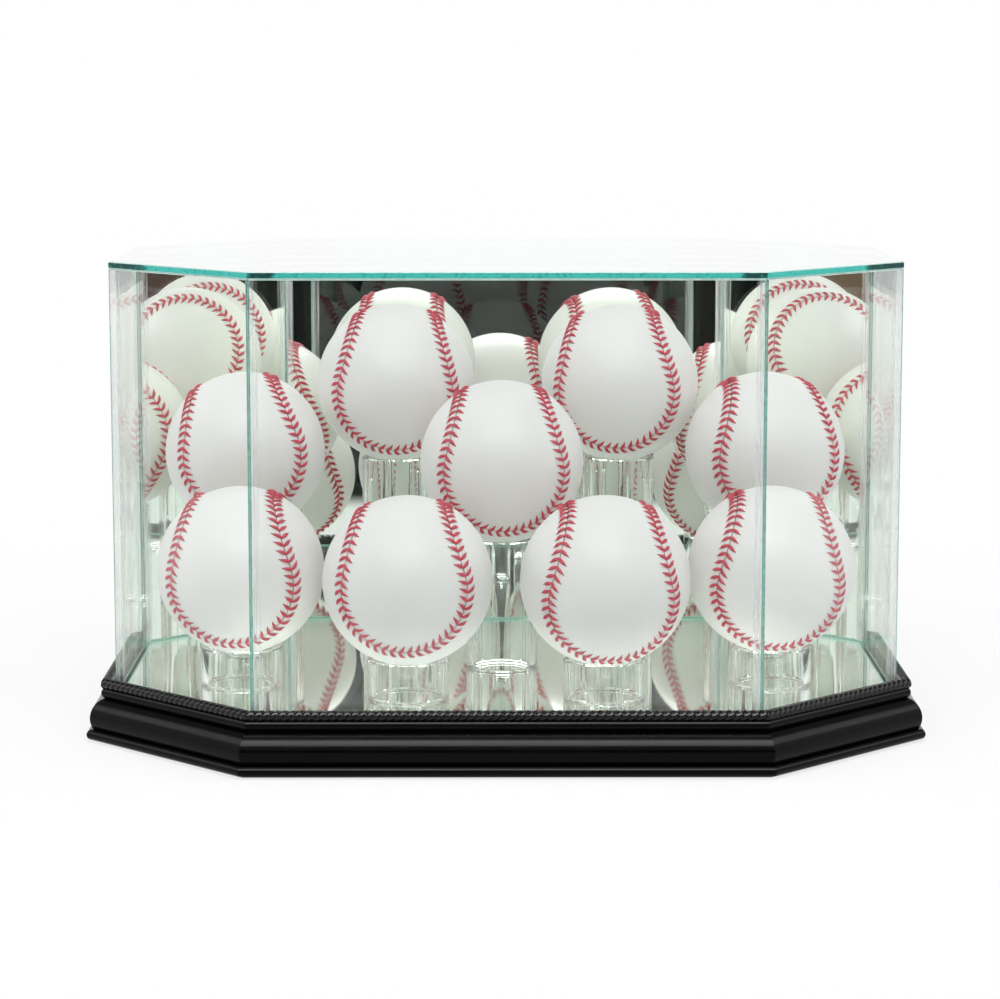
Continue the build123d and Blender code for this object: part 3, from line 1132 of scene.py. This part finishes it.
# %% Dark cards in the mirrors
FRONT_CARD_AT, SIDE_CARD_AT = 0.44, 0.95
CARD_HALF, CARD_WIDENS, CARD_BLUR = 0.30, 0.16, 0.04
CARD_COLOURS = (
    (0.3, (0.17, 0.12, 0.08)),
    (0.5, (0.003, 0.006, 0.006)),
    (0.7, (0.07, 0.045, 0.042)),
)
across = add_math(tree, "ABSOLUTE", parts.outputs["X"], 0.0)
along = add_math(tree, "ABSOLUTE", parts.outputs["Y"], 0.0)
front_way = add_math(tree, "MULTIPLY", parts.outputs["Y"], -1.0)


def add_card(tree, outward, sideways, begins):
    """1 on a dark card that begins at a distance and widens outward, as a mirror sees it."""
    starts = add_range(tree, outward, begins - CARD_BLUR, begins + CARD_BLUR)
    widened = add_math(tree, "MULTIPLY", outward, CARD_WIDENS)
    edge = add_math(tree, "SUBTRACT", sideways, widened)
    inside = add_range(tree, edge, CARD_HALF - CARD_BLUR, CARD_HALF + CARD_BLUR, 1.0, 0.0)
    return add_math(tree, "MULTIPLY", starts, inside)


front_card = add_card(tree, front_way, across, FRONT_CARD_AT)
side_card = add_card(tree, across, along, SIDE_CARD_AT)
any_card = add_math(tree, "MAXIMUM", front_card, side_card)
which_card = add_math(tree, "MULTIPLY", parts.outputs["X"], side_card)
which_way = add_range(tree, which_card, -2.0, 2.0)
card_colour = add_ramp(tree, which_way, *CARD_COLOURS)
mirrored = tree.nodes.new("ShaderNodeEmission")
mirrored_colour = add_blend(tree, any_card, (0.93, 0.95, 0.93), card_colour)
tree.links.new(mirrored_colour, mirrored.inputs["Color"])
sight = add_mirror_view(tree, rays)
set_surface(tree, mix_shaders(tree, sight, seen, mirrored.outputs["Emission"]))
table_mesh.materials.append(cloth)
print("cards", FRONT_CARD_AT, "m to the front and", SIDE_CARD_AT, "m to each side")

# %% The room
SOFT_LIGHT = 0.45
STRAIGHT_AHEAD = (0.93, 0.97)
OVER_THE_DARK = (0.20, 0.25)
CEILING = (0.30, 0.50)
world = bpy.data.worlds.new("room")
bpy.context.scene.world = world
world.use_nodes = True
tree = world.node_tree
place = tree.nodes.new("ShaderNodeTexCoord")
parts = tree.nodes.new("ShaderNodeSeparateXYZ")
tree.links.new(place.outputs["Generated"], parts.inputs["Vector"])
front_way = add_math(tree, "MULTIPLY", parts.outputs["Y"], -1.0)
beside = add_range(tree, front_way, *STRAIGHT_AHEAD, 1.0, 0.0)
above = add_range(tree, parts.outputs["Z"], *OVER_THE_DARK)
ceiling = add_range(tree, parts.outputs["Z"], *CEILING, 1.0, 0.3)
white_parts = add_math(tree, "MAXIMUM", beside, above)
light = add_math(tree, "MULTIPLY", white_parts, ceiling)
room = add_ramp(tree, light, (0.0, (0.018, 0.016, 0.015)), (1.0, (1.0, 1.0, 1.0)))
rays = tree.nodes.new("ShaderNodeLightPath")
sight = add_mirror_view(tree, rays)
soft = add_blend(tree, sight, (SOFT_LIGHT, SOFT_LIGHT, SOFT_LIGHT), room)
seen = add_blend(tree, rays.outputs["Is Camera Ray"], soft, (1.0, 1.0, 1.0))
tree.links.new(seen, tree.nodes["Background"].inputs["Color"])
tree.nodes["Background"].inputs["Strength"].default_value = 1.0
print("room: soft light", SOFT_LIGHT)

# %% [markdown]
# ## The lamps
# A large soft lamp in front and one overhead give the balls their lighter tops, and the mirrors
# carry their light to the backs of the balls. A weaker lamp at each side fills in the ends. The
# moulding's long soft highlight takes more light than white balls can bear, so a fifth lamp is
# kept from matt surfaces and shows only in gloss. The camera sees none of them.

# %% Four soft lamps and one for gloss
AIMED_AT = Vector((0, 0, 0.1))


def soft_lamp(name, place, wide, high, watts):
    """A lamp of a given width and height, aimed at the middle of the case."""
    data = bpy.data.lights.new(name, "AREA")
    data.shape = "RECTANGLE"
    data.size = wide
    data.size_y = high
    data.energy = watts
    lamp = add_object(name, data)
    lamp.location = place
    lamp.rotation_euler = (AIMED_AT - Vector(place)).to_track_quat("-Z", "Y").to_euler()
    lamp.visible_camera = False
    return lamp


soft_lamp("front_lamp", (0, -1.0, 1.6), 1.3, 0.6, 12)
soft_lamp("overhead_lamp", (0, 0.15, 1.9), 1.0, 1.0, 9)
for name, side in (("left_lamp", -1), ("right_lamp", 1)):
    soft_lamp(name, (side * 1.3, 0.0, 0.75), 0.9, 0.5, 4)
gloss_lamp = soft_lamp("gloss_lamp", (0, -1.35, 1.4), 1.5, 0.9, 52)
gloss_lamp.visible_diffuse = False
print("four soft lamps and one for the gloss")

# %% [markdown]
# ## The camera
# The photograph was taken with a long lens, about 1.4 m from the middle of the case, a little above
# the lid and looking slightly down. The lens, the place and the tilt come from a fit to points in
# the picture, such as the corners of the glass and the outlines of the balls.

# %% The camera
CAMERA_PLACE = (-0.0076, -1.3693, 0.2966)
PITCH, YAW = math.radians(8.227), math.radians(0.212)
camera_data = bpy.data.cameras.new("camera")
camera_data.sensor_width = 36.0
camera_data.lens = 110.27
camera = add_object("camera", camera_data)
camera.location = CAMERA_PLACE
looking = Vector((math.sin(YAW) * math.cos(PITCH), math.cos(YAW) * math.cos(PITCH), -math.sin(PITCH)))
camera.rotation_euler = looking.to_track_quat("-Z", "Y").to_euler()
bpy.context.scene.camera = camera
print("camera looks down by", round(math.degrees(PITCH), 1), "degrees")

# %% [markdown]
# ## Light through many layers
# A line of sight here crosses panes, tubes and mirrors many times, and each crossing counts as a
# bounce. Blender's usual limits would turn the deepest reflections black.

# %% Room for many crossings
cycles = bpy.context.scene.cycles
cycles.max_bounces = 24
cycles.diffuse_bounces = 8
cycles.glossy_bounces = 12
cycles.transmission_bounces = 20
cycles.transparent_max_bounces = 64
bpy.context.scene.view_settings.view_transform = "Standard"
print("up to", cycles.transparent_max_bounces, "clear surfaces")
